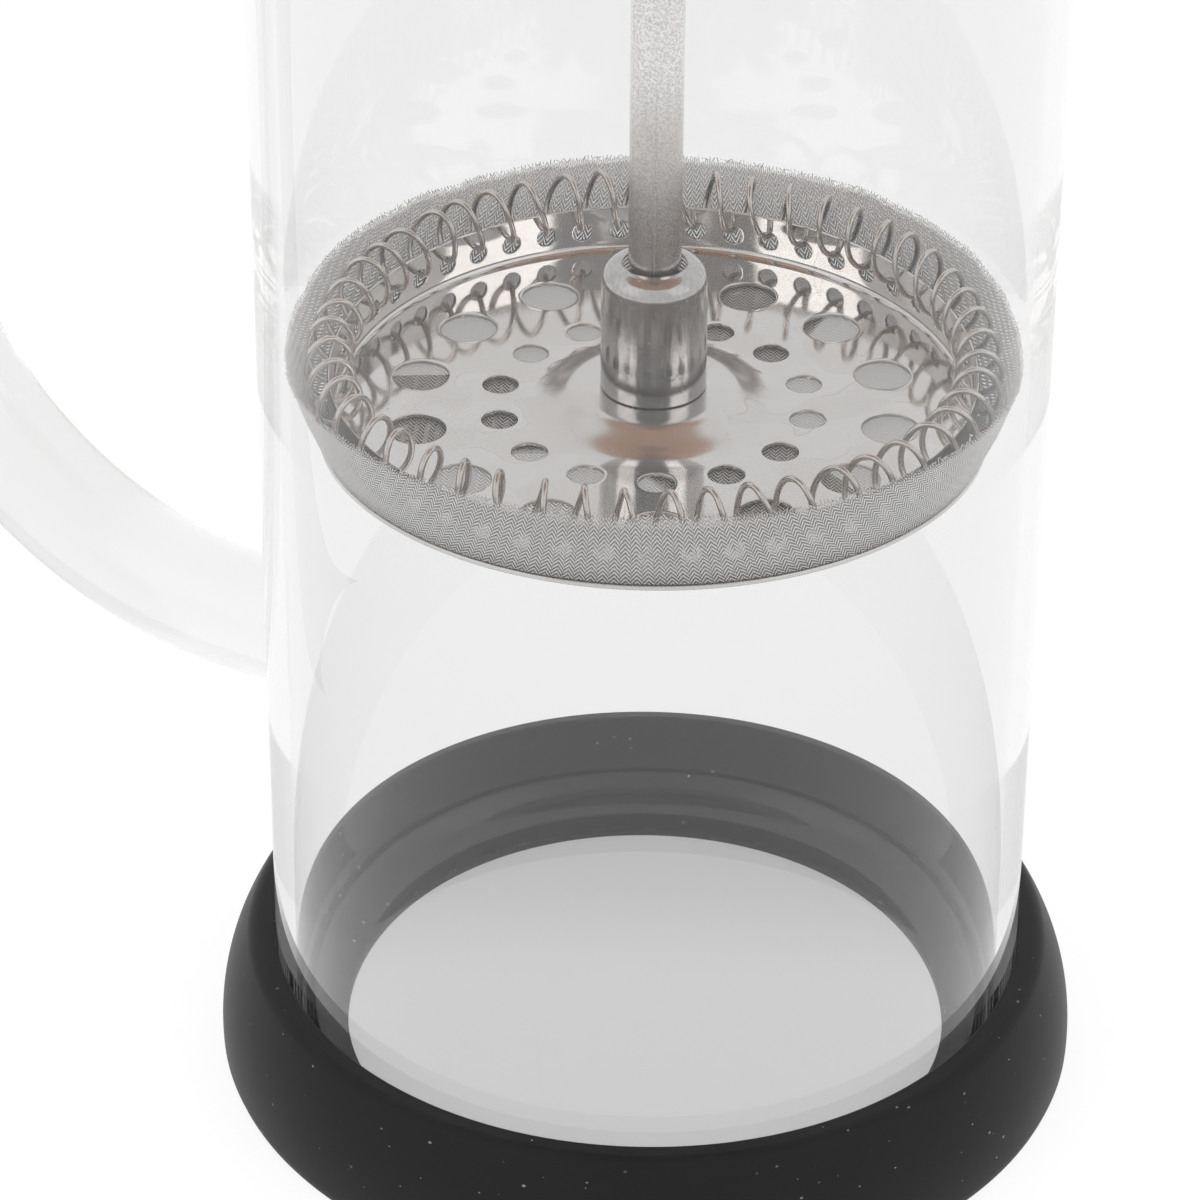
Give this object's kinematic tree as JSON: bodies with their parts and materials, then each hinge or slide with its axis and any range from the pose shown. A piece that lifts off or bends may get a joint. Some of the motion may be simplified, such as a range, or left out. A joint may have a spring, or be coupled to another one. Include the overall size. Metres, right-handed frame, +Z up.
{
  "type": "french press",
  "caption": "Glass press-pot carafe with glass handle, soft base ring, turned wooden lid and knob, and a steel plunger with a sprung mesh filter.",
  "frame": {"origin": "on the carafe's axis, on the surface that the base ring stands on", "axes": "+Z up along the plunger rod, the handle along -X, the pouring spout along +X"},
  "size_m": [0.1686, 0.1036, 0.301],
  "materials": {
    "clear_glass": "fire-polished, clear",
    "black_silicone": "matt",
    "clear_silicone": "milky, satin",
    "bamboo": "fine sanded, oiled",
    "satin_steel": "satin tube",
    "polished_steel": "polished",
    "woven_steel": "twill weave",
    "brass": "turned"
  },
  "bodies": {
    "carafe_body": {"carafe": "clear_glass", "carafe_handle": "clear_glass", "base_ring": "black_silicone"},
    "lid_body": {"lid_disc": "bamboo", "lid_plug": "bamboo", "lid_seal": "clear_silicone", "lid_bush": "polished_steel", "bush_ring": "polished_steel"},
    "plunger_body": {"plunger_rod": "satin_steel", "rod_top_stud": "satin_steel", "rod_end_plug": "satin_steel", "hub_nut": "polished_steel", "knob_washer": "polished_steel"},
    "knob_body": {"knob": "bamboo", "knob_insert": "brass"},
    "filter_body": {"spiral_plate": "polished_steel", "coil_spring": "satin_steel", "mesh_filter": "woven_steel", "mesh_eyelet": "satin_steel"},
    "cross_body": {"cross_plate": "polished_steel", "cross_stud": "satin_steel"}
  },
  "joints": [
    {"name": "lid_lift", "type": "slide", "parent": "carafe_body", "child": "lid_body", "axis": [0, 0, 1], "range_m": [0, 0.18]},
    {"name": "plunger_slide", "type": "slide", "parent": "lid_body", "child": "plunger_body", "axis": [0, 0, 1], "range_m": [-0.077, 0.054]},
    {"name": "knob_turn", "type": "hinge", "parent": "plunger_body", "child": "knob_body", "pos_m": [0, 0, 0.27], "axis": [0, 0, 1], "range_deg": [0, 1800]},
    {"name": "filter_drop", "type": "slide", "parent": "plunger_body", "child": "filter_body", "axis": [0, 0, -1], "range_m": [0, 0.004]},
    {"name": "cross_plate_turn", "type": "hinge", "parent": "filter_body", "child": "cross_body", "pos_m": [0, 0, 0.087], "axis": [0, 0, -1], "range_deg": [0, 1800]}
  ],
  "couplings": [
    {"joint": "filter_drop", "follows": "cross_plate_turn", "m_per_rad": 0.00012732}
  ]
}
